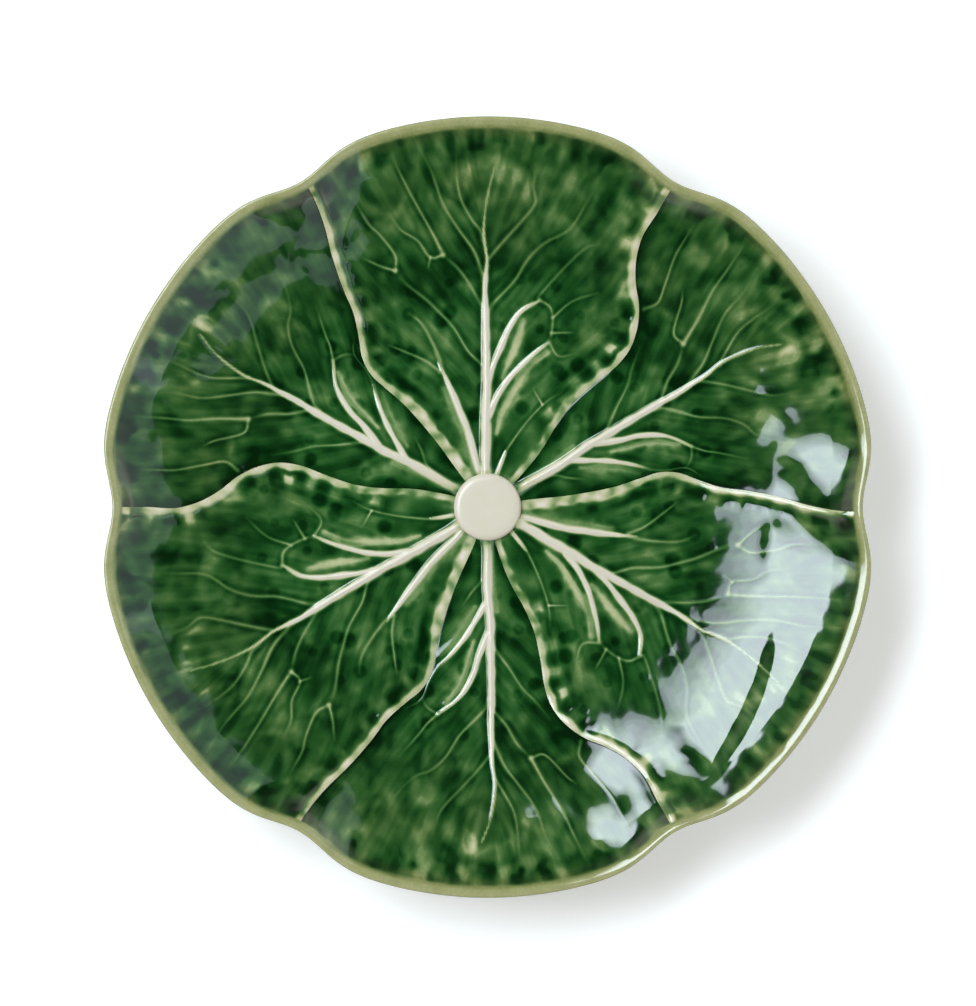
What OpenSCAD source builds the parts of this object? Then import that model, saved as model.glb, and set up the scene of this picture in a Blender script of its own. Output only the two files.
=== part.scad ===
// A round canape plate in glazed earthenware, formed as six overlapping cabbage leaves
// round a cut stem. Millimetres, +Z up. The origin is the middle of the foot ring, on the table.

/* [Plate] */
// Diameter over the tips of the leaves
plate_d = 165; // [145:1:200]
// Height of the rim above the table
plate_h = 22; // [19:0.5:30]
// Thickness of the clay wall under the leaves
wall_t = 3.4; // [2.6:0.1:4.5]
// Diameter of the flat bottom of the dish
well_d = 84; // [70:1:90]
// How sharply the wall turns up out of the floor
wall_curve = 1.35; // [1.1:0.05:1.8]
// Depth of the notch at the rim between two leaves
notch_depth = 3.3; // [1:0.1:5]
// How narrow the notches are, more being narrower
notch_power = 16; // [6:1:30]
// Rounding of the rim's upper edge
rim_round = 1.2; // [0.3:0.1:1.2]

/* [Foot ring] */
// Outer diameter of the foot ring
foot_d = 90; // [70:1:96]
// Width of the foot ring where it meets the floor
foot_w = 5; // [3.5:0.1:8]
// Height of the foot ring
foot_h = 4.6; // [4.2:0.1:7]
// Rounding of the foot ring's lower edges
foot_round = 1.5; // [0.5:0.1:1.7]

/* [Leaves] */
// Thickness of a leaf
leaf_t = 1.6; // [1.2:0.1:2.4]
// How far the edge of an upper leaf stands above the lower leaf beside it
lap_h = 1; // [0.2:0.1:1.2]
// Height of the swelling of a leaf between its edges
crown_h = 0.6; // [0:0.1:1.5]
// How narrow the raised or sunk border of a leaf is, more being narrower
border_power = 6; // [3:1:12]

/* [Stem] */
// Diameter of the cut stem in the middle
stem_d = 14.3; // [10:0.1:20]
// Height of the cut stem above the leaves
stem_h = 1.7; // [1:0.1:3]
// Rounding of the stem's upper edge
stem_round = 0.9; // [0.3:0.1:1]
// Flat ground round the stem
stem_margin = 1.1; // [0.5:0.1:3]

/* [Ribs] */
// Width of a midrib near the stem
rib_w = 3; // [2:0.1:4]
// Height of a midrib near the stem
rib_h = 0.9; // [0.6:0.1:1.5]
// How deep a rib is bedded in its leaf
rib_bed = 1; // [0.8:0.1:1.4]
// Gap between the ends of the ribs and the stem
rib_gap = 0.1; // [0.05:0.05:0.3]

/* [Hidden] */

plate_r = plate_d / 2;
well_r = well_d / 2;
rim_r = plate_r - rim_round;
floor_z = foot_h + wall_t;
dish_edge_z = plate_h - leaf_t;
foot_flat_r = foot_d / 2 + foot_round;
stem_z = floor_z + leaf_t;
stem_seat_share = (stem_d / 2 + stem_margin) / plate_r;

// The six leaves share the circle. Leaves 0, 2 and 4 are lower ones, and 1, 3 and 5 lie on top.
leaf_count = 6;
leaf_angle = 360 / leaf_count;
leaf_columns = 16;
leaf_rings = 17;
column_ease = 0.6;

// The leaves' rings, as shares of the plate's radius: the middle, the stem's seat, then outward.
ring_shares = concat(
    [0],
    [for (i = [0 : leaf_rings]) lerp(stem_seat_share, rim_r / plate_r, i / leaf_rings)],
    [1]
);
last_ring = len(ring_shares) - 1;

// Where the leaves' relief starts and stops, as shares of the plate's radius.
relief_start_share = 0.11;
relief_full_share = 0.2;
relief_end_share = 0.93;

// The two kinds of line along which leaves meet. Each row is the distance out, as a share of the
// plate's radius, and the turn away from the straight line to the notch, in degrees.
wide_border_shares = [
    [0.11, 10], [0.18, 8.3], [0.25, 8.2], [0.33, 9], [0.41, 10.8], [0.45, 11.4],
    [0.505, 9.9], [0.545, 7.5], [0.6, 5], [0.68, 3.5], [0.77, 1.8], [0.85, 0.2], [0.95, -0.7],
];
narrow_border_shares = [
    [0.11, -17], [0.19, -14], [0.28, -10], [0.34, -9.5], [0.41, -10.8], [0.5, -12.5],
    [0.55, -12], [0.6, -10], [0.65, -7], [0.69, -4], [0.74, -1.5], [0.8, 0],
];

// The ribs of the two kinds of leaf. Each row is the distance out, as a share of the plate's
// radius, the turn from the leaf's middle in degrees, and the width as a share of the midrib's.
upper_rib_shares = [
    [[0.08, 3, 1], [0.2, 1, 1], [0.33, 0.4, 0.95], [0.56, 0.7, 0.75], [0.71, 0.8, 0.4], [0.82, 0, 0.25]],
    [[0.31, 0.4, 0.8], [0.39, -3.5, 0.75], [0.46, -6.3, 0.7], [0.51, -9.8, 0.6], [0.55, -14.2, 0.4]],
    [[0.23, 0.6, 0.8], [0.31, -6.9, 0.8], [0.36, -11.2, 0.7], [0.41, -15.9, 0.6], [0.45, -20.4, 0.4]],
    [[0.08, 5, 1], [0.17, 12, 1.1], [0.25, 15.5, 1.2], [0.33, 17.5, 0.9], [0.38, 19, 0.6]],
    [[0.37, 19, 0.5], [0.47, 18.8, 0.3], [0.54, 22.3, 0.25]],
    [[0.36, 0.5, 0.4], [0.41, 7.2, 0.35], [0.52, 14.1, 0.35], [0.65, 21.3, 0.3], [0.75, 21.6, 0.25]],
    [[0.52, 0.7, 0.4], [0.62, 7.2, 0.35], [0.71, 11.3, 0.3], [0.81, 13.4, 0.25]],
    [[0.59, 0.6, 0.35], [0.72, 6.1, 0.3], [0.84, 9.1, 0.25]],
    [[0.52, 0.7, 0.4], [0.64, -9.2, 0.35], [0.74, -16.4, 0.3], [0.81, -17.9, 0.25]],
    [[0.63, 0.6, 0.35], [0.74, -6.7, 0.3], [0.83, -8.2, 0.25]],
    [[0.08, -18, 0.5], [0.15, -15.5, 0.45], [0.23, -22.4, 0.4], [0.3, -27.9, 0.35]],
];
lower_rib_shares = [
    [[0.08, 0.3, 1], [0.21, 0.2, 1], [0.37, 1.3, 1], [0.49, 1.2, 0.9], [0.58, 0.9, 0.75],
        [0.66, 1.1, 0.5], [0.8, 0.6, 0.3]],
    [[0.32, 1, 0.8], [0.38, -3.3, 0.75], [0.47, -6.7, 0.6], [0.51, -9.3, 0.5], [0.55, -13.5, 0.4]],
    [[0.24, 0.5, 0.7], [0.31, -7.1, 0.7], [0.35, -10.7, 0.6], [0.4, -14.3, 0.5], [0.43, -17, 0.4]],
    [[0.51, 1.1, 0.4], [0.59, -7, 0.35], [0.65, -9.5, 0.3], [0.72, -15.4, 0.25]],
    [[0.63, 1.1, 0.35], [0.72, -5.2, 0.3], [0.79, -8.7, 0.25]],
    [[0.36, 1.3, 0.4], [0.42, 7.7, 0.35], [0.52, 13.7, 0.3]],
    [[0.52, 1.1, 0.4], [0.61, 7, 0.35], [0.66, 9.8, 0.35], [0.75, 13, 0.3], [0.87, 14.7, 0.25]],
    [[0.59, 1, 0.35], [0.72, 6.3, 0.3], [0.86, 10, 0.25]],
];
// The steps of a rib's rounded section: height, then width, as shares of the rib's own.
rib_step_shares = [[0.45, 0.95], [1, 0.45]];
rib_sides = 6;
round_steps = 4;

function lerp(a, b, t) = a + (b - a) * t;
function fade(t) = let (c = min(1, max(0, t))) c * c * (3 - 2 * c);
function is_upper(leaf) = leaf % 2 == 1;

// The angle of border line k, at a share of the plate's radius.
function border_angle(k, share) =
    k * leaf_angle + lookup(share, k % 2 == 0 ? wide_border_shares : narrow_border_shares);

// The angle across a leaf, from its clockwise border at 0 to its other border at 1.
function across_angle(leaf, share, across) =
    lerp(border_angle(leaf, share), border_angle(leaf + 1, share), across);

// The distance from the axis. The rim steps in where two leaves meet.
function plan_r(share, angle) =
    share * plate_r
    - notch_depth * pow(abs(cos(angle * leaf_count / 2)), notch_power) * pow(share, 4);

// The top of the dish wall and floor, on which the leaves lie.
function dish_z(share) =
    let (climb = (share * plate_r - well_r) / (rim_r - well_r))
    floor_z + (dish_edge_z - floor_z) * pow(min(1, max(0, climb)), wall_curve);

// The underside of the dish: flat over the foot ring, then up to the rim.
function under_z(share) =
    let (climb = (share * plate_r - foot_flat_r) / (rim_r - foot_flat_r))
    foot_h + (dish_edge_z - wall_t - foot_h) * pow(min(1, max(0, climb)), wall_curve);

// The height of a leaf's upper face above the dish.
function leaf_rise(leaf, share, across) =
    let (
        inner = fade((share - relief_start_share) / (relief_full_share - relief_start_share)),
        outer = fade((rim_r / plate_r - share) / (rim_r / plate_r - relief_end_share)),
        border = pow(abs(2 * across - 1), border_power),
        step = (is_upper(leaf) ? 1 : -1) * lap_h / 2
    )
    leaf_t + inner * outer * (step * border + crown_h * sin(180 * across))
    - (share >= 1 ? rim_round : 0);

function on_dish(leaf, share, across, rise) =
    let (angle = across_angle(leaf, share, across), r = plan_r(share, angle))
    [r * cos(angle), r * sin(angle), dish_z(share) + rise];

// Columns crowd a little towards a leaf's borders.
function column_share(j) =
    let (t = j / leaf_columns)
    lerp(t, (1 - cos(180 * t)) / 2, column_ease);

// Triangles of the band between two rows of points, in the order that faces them outward.
function band(a, b, c, d) = [[a, c, b], [a, d, c]];

// A solid bounded by a stack of closed loops of points, from one end point to the other.
module loops_solid(first, loops, last) {
    n = len(loops[0]);
    points = concat([first], [for (loop = loops) each loop], [last]);
    end = len(points) - 1;
    polyhedron(points, concat(
        [for (j = [0 : n - 1]) [0, 1 + (j + 1) % n, 1 + j]],
        [for (i = [0 : len(loops) - 2], j = [0 : n - 1])
            let (a = 1 + i * n, b = a + n, next = (j + 1) % n)
            each band(a + j, b + j, b + next, a + next)],
        [for (j = [0 : n - 1]) [end, end - n + j, end - n + (j + 1) % n]]
    ));
}

// One closed loop of points round all six leaves at a ring of the dish.
function dish_loop(share, z) = [
    for (leaf = [0 : leaf_count - 1], j = [0 : leaf_columns - 1])
        let (p = on_dish(leaf, share, column_share(j), 0))
        [p.x, p.y, is_undef(z) ? p.z : z]
];

module plate_body() {
    under_shares = [for (t = [0 : 0.2 : 1]) lerp(rim_r, foot_flat_r, t) / plate_r];
    color("#2c5f2f")
    loops_solid(
        [0, 0, dish_z(0)],
        concat(
            [for (i = [1 : last_ring]) dish_loop(ring_shares[i])],
            [dish_loop(1, dish_edge_z - wall_t / 2)],
            [for (share = under_shares) dish_loop(share, under_z(share))]
        ),
        [0, 0, foot_h]
    );
}

// The points of a quarter round of radius r about a centre in the section plane.
function quarter(centre, r, start) = [
    for (i = [0 : round_steps])
        centre + r * [cos(start + 90 * i / round_steps), sin(start + 90 * i / round_steps)]
];

module foot_ring() {
    outer = foot_d / 2;
    inner = outer - foot_w;
    color("#c9c2a4")
    rotate_extrude($fn = 144)
    polygon(concat(
        quarter([inner + foot_round, foot_round], foot_round, 180),
        quarter([outer - foot_round, foot_round], foot_round, 270),
        [[outer, foot_h], [inner, foot_h]]
    ));
}

module stem_boss() {
    color("#d4cdc3")
    translate([0, 0, stem_z])
    rotate_extrude($fn = 96)
    polygon(concat(
        [[0, 0], [stem_d / 2, 0]],
        quarter([stem_d / 2 - stem_round, stem_h - stem_round], stem_round, 0),
        [[0, stem_h]]
    ));
}

module leaf(leaf) {
    row = leaf_columns + 1;
    sheet = 1 + last_ring * row;
    // The number of a point, on the upper face when side is 0 and on the lower when it is 1.
    function at(side, i, j) = side * sheet + (i == 0 ? 0 : 1 + (i - 1) * row + j);
    points = [
        for (side = [0, 1], i = [0 : last_ring], j = [0 : i == 0 ? 0 : leaf_columns])
            let (share = ring_shares[i], across = column_share(j))
            on_dish(leaf, share, across, side == 0 ? leaf_rise(leaf, share, across) : 0)
    ];
    rings = [0 : last_ring - 1];
    columns = [0 : leaf_columns - 1];
    end = last_ring;
    edge = leaf_columns;
    polyhedron(points, concat(
        [for (j = columns) [at(0, 0, 0), at(0, 1, j + 1), at(0, 1, j)]],
        [for (j = columns) [at(1, 0, 0), at(1, 1, j), at(1, 1, j + 1)]],
        [for (i = rings, j = columns) if (i > 0)
            each band(at(0, i, j), at(0, i + 1, j), at(0, i + 1, j + 1), at(0, i, j + 1))],
        [for (i = rings, j = columns) if (i > 0)
            each [
                [at(1, i, j), at(1, i + 1, j), at(1, i + 1, j + 1)],
                [at(1, i, j), at(1, i + 1, j + 1), at(1, i, j + 1)],
            ]],
        [for (i = rings)
            each band(at(0, i, 0), at(1, i, 0), at(1, i + 1, 0), at(0, i + 1, 0))],
        [for (i = rings)
            each band(at(0, i + 1, edge), at(1, i + 1, edge), at(1, i, edge), at(0, i, edge))],
        [for (j = columns)
            each band(at(0, end, j), at(1, end, j), at(1, end, j + 1), at(0, end, j + 1))]
    ));
}

// One station of a rib: a low stepped dome bedded in the leaf's upper face.
module rib_station(leaf, row) {
    share = row[0];
    angle = (leaf + 0.5) * leaf_angle + row[1];
    start = border_angle(leaf, share);
    across = (angle - start) / (border_angle(leaf + 1, share) - start);
    place = on_dish(leaf, share, across, leaf_rise(leaf, share, across) - rib_bed);
    rise = rib_h * sqrt(row[2]);
    half = rib_w * row[2] / 2;
    translate(place)
    for (step = rib_step_shares)
        cylinder(h = rib_bed + rise * step[0], r = half * step[1], $fn = rib_sides);
}

module ribs(leaf) {
    color("#dcd4c0")
    difference() {
        for (rib = is_upper(leaf) ? upper_rib_shares : lower_rib_shares, i = [1 : len(rib) - 1])
            hull() {
                rib_station(leaf, rib[i - 1]);
                rib_station(leaf, rib[i]);
            }
        leaf(leaf);
        plate_body();
        translate([0, 0, stem_z])
            cylinder(h = stem_h + rib_h, r = stem_d / 2 + rib_gap, $fn = 96);
    }
}

module lower_leaf(leaf) {
    color("#2f6b36")
    leaf(leaf);
}

module upper_leaf(leaf) {
    color("#3f7d43")
    leaf(leaf);
}

plate_body();
foot_ring();
stem_boss();
lower_leaf(0);  // lower_leaf_1
upper_leaf(1);  // upper_leaf_1
lower_leaf(2);  // lower_leaf_2
upper_leaf(3);  // upper_leaf_2
lower_leaf(4);  // lower_leaf_3
upper_leaf(5);  // upper_leaf_3
ribs(0);  // lower_ribs_1
ribs(1);  // upper_ribs_1
ribs(2);  // lower_ribs_2
ribs(3);  // upper_ribs_2
ribs(4);  // lower_ribs_3
ribs(5);  // upper_ribs_3
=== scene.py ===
import math

import bpy
import numpy as np
from mathutils import Matrix


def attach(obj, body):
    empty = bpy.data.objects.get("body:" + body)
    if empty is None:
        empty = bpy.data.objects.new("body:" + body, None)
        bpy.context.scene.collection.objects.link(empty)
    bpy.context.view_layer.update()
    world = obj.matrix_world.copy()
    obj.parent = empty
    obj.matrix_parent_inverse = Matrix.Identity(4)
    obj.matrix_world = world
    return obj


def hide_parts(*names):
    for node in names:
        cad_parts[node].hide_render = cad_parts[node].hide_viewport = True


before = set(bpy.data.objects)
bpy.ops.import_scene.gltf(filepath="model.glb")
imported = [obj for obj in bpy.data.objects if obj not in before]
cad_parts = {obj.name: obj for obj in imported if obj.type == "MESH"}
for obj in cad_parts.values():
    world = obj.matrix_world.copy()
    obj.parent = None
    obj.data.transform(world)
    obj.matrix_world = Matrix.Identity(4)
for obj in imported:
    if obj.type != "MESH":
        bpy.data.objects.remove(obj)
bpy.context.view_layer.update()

# Sizes in millimetres, as in the part.
MM = 0.001
PLATE_R = 82.5
RIM_R = 81.3
WELL_R = 42.0
UNDER_R = 46.5
FLOOR_Z = 8.0
DISH_EDGE_Z = 20.4
RIM_Z = 22.0
FOOT_Z = 4.6
UNDER_EDGE_Z = 17.0
WALL_CURVE = 1.35
NOTCH = 3.3
NOTCH_POWER = 16
LEAF_T = 1.6
LAP = 1.0
CROWN = 0.6

# Where the visible leaves lie lower than the solids: all of them on the outer wall, and the sides of
# a lower leaf where its neighbours cover it.
WALL_DROP = 0.66
TUCK = 0.5

# The rounded edge of the rim: where it starts, how far it reaches out, the slope it starts with,
# how far out it starts to round over, and how far it drops to its outermost line.
EDGE_SHARE = (PLATE_R - 2.2) / PLATE_R
EDGE_W = 2.1
EDGE_SLOPE = 0.47
EDGE_TURN = 0.75
EDGE_DROP = 0.8

# A leaf's mesh: the coarse grid, how finely its face is cut, the rows that make the rim, the share of
# the plate's radius where it starts, and the angle below which its faces are shaded as one.
GRID_ACROSS = 35
GRID_ALONG = 40
GRID_CUTS = 8
EDGE_ROWS = 3
INNER_SHARE = 0.045
SMOOTH_BELOW = 58

# Turned bodies: the ring that closes on the axis, how near corners merge, and how far the dish lies
# under the leaves. The foot is bare clay up to BARE_Z.
AXIS_R = 0.02
MERGE = 0.05
UNDER_LEAF = 0.05
BARE_Z = 0.25

# The lines along which two leaves meet: share of the plate's radius, and degrees off the notch.
WIDE_BORDER = [
    (0.045, 12), (0.11, 10), (0.18, 8.3), (0.25, 8.2), (0.33, 9), (0.41, 10.8), (0.45, 11.4),
    (0.505, 9.9), (0.545, 7.5), (0.6, 5), (0.68, 3.5), (0.77, 1.8), (0.85, 0.2), (0.95, -0.7),
    (1, -0.7),
]
NARROW_BORDER = [
    (0.045, -20), (0.11, -17), (0.19, -14), (0.28, -10), (0.34, -9.5), (0.41, -10.8), (0.5, -12.5),
    (0.55, -12), (0.6, -10), (0.65, -7), (0.69, -4), (0.74, -1.5), (0.8, 0), (0.9, 0), (1, 0),
]

# The pale ribs of the two kinds of leaf. Each row is the share of the plate's radius, the degrees
# from the leaf's middle, turning left, and the rib's width in millimetres.
UPPER_RIBS = [
    [(0.07, 3.2, 2.7), (0.12, 2.4, 2.3), (0.2, 1.4, 2.3), (0.327, 0.4, 2), (0.44, 0.5, 1.75),
     (0.524, 0.6, 1.4), (0.56, 0.7, 1.2), (0.6, 0.4, 0.9), (0.64, 0.2, 0.75), (0.707, 0.8, 0.6),
     (0.783, 0.2, 0.45), (0.87, -1.1, 0.3)],
    [(0.32, 0, 1.4), (0.355, -1.8, 1.4), (0.412, -4.7, 1.35), (0.472, -7.3, 1.15),
     (0.515, -10, 0.95), (0.547, -14, 0.6)],
    [(0.235, -0.8, 1.5), (0.272, -3.7, 1.45), (0.324, -8.4, 1.25), (0.374, -13.3, 1.05),
     (0.423, -17.8, 0.85), (0.452, -20.4, 0.55)],
    [(0.075, 10, 1.4), (0.109, 14, 1.5), (0.193, 14.3, 1.6), (0.256, 16, 1.5), (0.316, 17.3, 1.2),
     (0.362, 18.2, 0.8), (0.392, 18.7, 0.45)],
    [(0.07, -15, 1), (0.09, -16, 0.9), (0.124, -17.5, 0.8), (0.15, -18.4, 0.5)],
]
LOWER_RIBS = [
    [(0.07, 0.4, 2.7), (0.12, 0.3, 2.2), (0.209, 0, 2.1), (0.298, 1.5, 2), (0.37, 1.3, 1.85),
     (0.485, 1.2, 1.6), (0.56, 0.9, 1.3), (0.62, 1, 1), (0.66, 1.1, 0.8), (0.717, 1.6, 0.6),
     (0.799, 0.6, 0.45), (0.86, -1, 0.3)],
    [(0.325, 0.2, 1.4), (0.343, -1, 1.4), (0.384, -3.3, 1.4), (0.423, -4.5, 1.25),
     (0.47, -6.7, 1.05), (0.507, -9.3, 0.85), (0.549, -13.5, 0.55)],
    [(0.245, -0.5, 1.3), (0.27, -3.5, 1.3), (0.309, -7.1, 1.15), (0.353, -10.7, 1),
     (0.397, -14.3, 0.8), (0.43, -17, 0.5)],
]

# Pale swellings beside the forks, lower and softer than the ribs.
UPPER_SWELLS = [
    [(0.335, -6.8, 0.6), (0.38, -8.6, 1.3), (0.43, -9.9, 1.5), (0.49, -10.6, 1.2)],
    [(0.19, -6.6, 0.8), (0.245, -8.7, 1.4), (0.324, -13.5, 1.8), (0.378, -16, 1.8),
     (0.43, -21.5, 1.3)],
    [(0.1, 20, 1.4), (0.15, 19, 1.6), (0.21, 18.4, 1.5), (0.27, 19.3, 1.4), (0.325, 20, 1)],
]
LOWER_SWELLS = [
    [(0.35, -6, 0.7), (0.4, -6.8, 1.2), (0.46, -8.6, 1.3), (0.52, -12, 1)],
    [(0.26, -7, 0.7), (0.31, -10.5, 1.2), (0.36, -14, 1.2), (0.4, -17.5, 0.9)],
    [(0.12, 5, 1), (0.2, 4.6, 1.2), (0.27, 5.2, 0.9)],
]

# The thin veins: width where a vein starts and where it ends, then its stations.
UPPER_VEINS = [
    (0.9, 0.7, (0.37, 18.4), (0.406, 18.1), (0.463, 18.8), (0.509, 20.1), (0.542, 22.3)),
    (0.8, 0.5, (0.37, 19.4), (0.409, 22.9), (0.464, 28.9), (0.493, 31.6)),
    (0.7, 0.9, (0.345, 1.4), (0.367, 2.4), (0.406, 7.2), (0.47, 10.7), (0.52, 14.1),
     (0.559, 16.6), (0.615, 20.2), (0.654, 21.3)),
    (0.8, 0.5, (0.654, 21.3), (0.691, 20.2), (0.754, 21.6), (0.797, 22.9), (0.87, 23.5)),
    (0.8, 0.5, (0.654, 21.3), (0.682, 24), (0.726, 26.7)),
    (0.7, 0.8, (0.51, 1.2), (0.532, 2.4), (0.579, 4.8), (0.621, 7.2), (0.659, 10)),
    (0.9, 0.45, (0.659, 10), (0.715, 11.3), (0.805, 13.4), (0.87, 14.5), (0.93, 15.2)),
    (0.7, 0.6, (0.659, 10), (0.659, 12.9), (0.708, 14.7), (0.745, 17.3), (0.79, 18.4)),
    (0.6, 0.4, (0.659, 12.9), (0.632, 14)),
    (1, 0.5, (0.588, 0.7), (0.603, 1.3), (0.659, 3), (0.721, 6.1), (0.784, 8.3), (0.839, 9.1),
     (0.884, 9.7), (0.965, 11.3)),
    (0.9, 0.5, (0.69, 0.9), (0.714, 1.6), (0.741, 3.2), (0.792, 4.9), (0.842, 5.3), (0.907, 5.1)),
    (0.9, 0.6, (0.62, 0.2), (0.639, -0.3), (0.692, -3.9), (0.738, -6.7), (0.789, -8.9),
     (0.83, -8.2), (0.89, -8)),
    (0.9, 0.5, (0.505, -0.3), (0.528, -1.9), (0.587, -6.8), (0.644, -9.2), (0.693, -12.1),
     (0.744, -16.4), (0.812, -17.9), (0.868, -18.8)),
    (0.6, 0.5, (0.55, -14), (0.563, -13.9), (0.642, -17.6), (0.71, -20.6), (0.74, -23)),
    (0.7, 0.7, (0.55, -14.2), (0.54, -17.3), (0.516, -19), (0.478, -20.2), (0.454, -20.4)),
    (0.6, 0.4, (0.516, -19), (0.574, -22.4), (0.627, -27.4)),
    (0.6, 0.4, (0.478, -20.2), (0.504, -26.4)),
    (0.7, 0.4, (0.454, -20.4), (0.431, -25.3), (0.464, -30.4)),
    (0.6, 0.5, (0.14, -18.2), (0.163, -19.2), (0.243, -24.9), (0.311, -29.2), (0.362, -33.7)),
    (0.5, 0.4, (0.3, -28), (0.329, -20.6)),
]
LOWER_VEINS = [
    (0.7, 0.5, (0.15, -2), (0.19, -4.5), (0.22, -10), (0.26, -14)),
    (0.8, 0.5, (0.5, 0.3), (0.523, -0.9), (0.554, -3.8), (0.593, -7), (0.652, -9.5),
     (0.693, -12.2), (0.722, -15.4), (0.8, -18.5)),
    (0.8, 0.5, (0.625, 1), (0.643, 0.2), (0.682, -2.4), (0.724, -5.2), (0.788, -8.7),
     (0.85, -9.5)),
    (0.8, 0.6, (0.345, 1.8), (0.366, 2.9), (0.421, 7.7), (0.475, 10.8), (0.515, 13.7),
     (0.57, 16.5)),
    (0.9, 0.8, (0.505, 1.3), (0.526, 1.8), (0.565, 4.9), (0.613, 7), (0.656, 9.8)),
    (0.7, 0.5, (0.656, 9.8), (0.656, 13.1), (0.721, 16.3), (0.747, 17.8)),
    (0.9, 0.5, (0.656, 9.8), (0.731, 11.9), (0.799, 13.8), (0.866, 14.7), (0.936, 15.6)),
    (0.9, 0.5, (0.585, 1), (0.601, 1.4), (0.651, 3.1), (0.681, 4.4), (0.717, 6.3),
     (0.785, 9.1), (0.856, 10), (0.919, 11.5)),
    (0.8, 0.5, (0.7, 1.6), (0.721, 2.6), (0.784, 4.9), (0.843, 5.3), (0.902, 5.2)),
    (0.7, 0.5, (0.651, 21.7), (0.686, 20.2), (0.737, 21.5), (0.81, 23.2), (0.862, 23.6),
     (0.936, 24)),
    (0.6, 0.5, (0.549, -13.5), (0.54, -16.5), (0.523, -18.9)),
    (0.6, 0.4, (0.549, -13.5), (0.58, -15.6), (0.611, -16.8), (0.68, -19.5)),
    (0.5, 0.4, (0.43, -17), (0.47, -18.4), (0.523, -18.9), (0.56, -22)),
]

# Presses in the clay of single leaves, where the window's reflection is broken up: the share of the
# plate's radius, the degrees round the plate, the width and the depth in millimetres. A swelling
# has a depth below 0. A press leaves LEAST_CLAY over the dish, or is under 0.02 mm deep where the
# leaf is thinner, and corners within TOP_ABOVE of the dish stay where they are.
PRESSES = {
    "upper_leaf_face_3": [
        (0.735, -4.5, 3, 0.12), (0.735, -7.5, 3, 0.12), (0.735, -10.5, 3, 0.12), (0.915, -46, 6, 0.16),
    ],
    "lower_leaf_face_1": [(0.84, 6, 8, -0.4), (0.76, 5, 7, 0.35)],
    "lower_leaf_face_3": [(0.72, -69, 9, 0.5), (0.86, -68, 7, -0.3)],
}
LEAST_CLAY = 0.35
TOP_ABOVE = 0.25
FOLDED_LEAF = "upper_leaf_face_3"
FOLD_MIDDLE = 330
FOLD_SHARE = 0.838
FOLD_W = 5.4
FOLD_DEPTH = 0.52

# Glaze colours as written in a paint program, from thin over pale clay to a deep pool.
GREEN = [
    (0.0, (205, 198, 184)), (0.1, (197, 191, 165)), (0.2, (166, 172, 128)), (0.3, (112, 138, 88)),
    (0.38, (73, 110, 58)), (0.46, (54, 94, 46)), (0.54, (40, 84, 36)), (0.63, (27, 73, 27)),
    (0.74, (14, 58, 18)), (0.88, (4, 42, 8)), (1.0, (0, 29, 3)),
]
OLIVE = [
    (0.0, (205, 197, 181)), (0.1, (197, 189, 160)), (0.2, (174, 169, 127)), (0.3, (133, 136, 88)),
    (0.38, (95, 107, 60)), (0.46, (74, 92, 48)), (0.54, (56, 78, 37)), (0.63, (42, 65, 29)),
    (0.74, (24, 50, 20)), (0.88, (13, 36, 11)), (1.0, (6, 24, 6)),
]


def fade(t):
    """From 0 to 1 with no corner at either end."""
    t = np.clip(t, 0, 1)
    return t * t * t * (t * (6 * t - 15) + 10)


def hump(distance, width):
    """A soft bump that is 1 in the middle and nearly gone one width away."""
    return np.exp(-2.5 * (distance / width) ** 2)


def through(rows, at):
    """A smooth curve through rows of (place, value), read at the given places."""
    x, y = np.array(rows, float).T
    slope = np.gradient(y, x)
    i = np.clip(np.searchsorted(x, at) - 1, 0, len(x) - 2)
    gap = x[i + 1] - x[i]
    t = np.clip((at - x[i]) / gap, 0, 1)
    start = (1 + 2 * t) * (1 - t) ** 2 * y[i] + t * (1 - t) ** 2 * gap * slope[i]
    end = t * t * (3 - 2 * t) * y[i + 1] - t * t * (1 - t) * gap * slope[i + 1]
    return start + end


def noise(x, y, seed):
    """Seeded smooth noise from about -1 to 1, with bumps about one unit across."""
    turn = np.random.default_rng(seed).random((64, 64)) * 2 * np.pi
    column = np.floor(x).astype(int)
    row = np.floor(y).astype(int)
    fx, fy = x - column, y - row

    def corner(i, j):
        angle = turn[(column + i) % 64, (row + j) % 64]
        return np.cos(angle) * (fx - i) + np.sin(angle) * (fy - j)

    near = corner(0, 0) + fade(fx) * (corner(1, 0) - corner(0, 0))
    far = corner(0, 1) + fade(fx) * (corner(1, 1) - corner(0, 1))
    return 1.6 * (near + fade(fy) * (far - near))


def flat(share, degrees):
    """The place on a leaf laid flat, in millimetres, its middle along the first axis."""
    angle = np.radians(degrees)
    return np.stack([PLATE_R * share * np.cos(angle), PLATE_R * share * np.sin(angle)], axis=-1)


def rib_line(rows, per_gap=8):
    """Close stations along a rib: their places on the flat leaf and the widths there."""
    rows = np.array(rows, float)
    points = np.column_stack([flat(rows[:, 0], rows[:, 1]), rows[:, 2]])
    points = np.vstack([2 * points[0] - points[1], points, 2 * points[-1] - points[-2]])
    line = []
    for a, b, c, d in zip(points, points[1:], points[2:], points[3:]):
        for t in np.arange(per_gap) / per_gap:
            line.append(0.5 * (2 * b + (c - a) * t + (2 * a - 5 * b + 4 * c - d) * t * t
                               + (3 * b - a - 3 * c + d) * t ** 3))
    line.append(points[-2])
    line = np.array(line)
    return line[:, :2], np.maximum(line[:, 2], 0.1)


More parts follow.
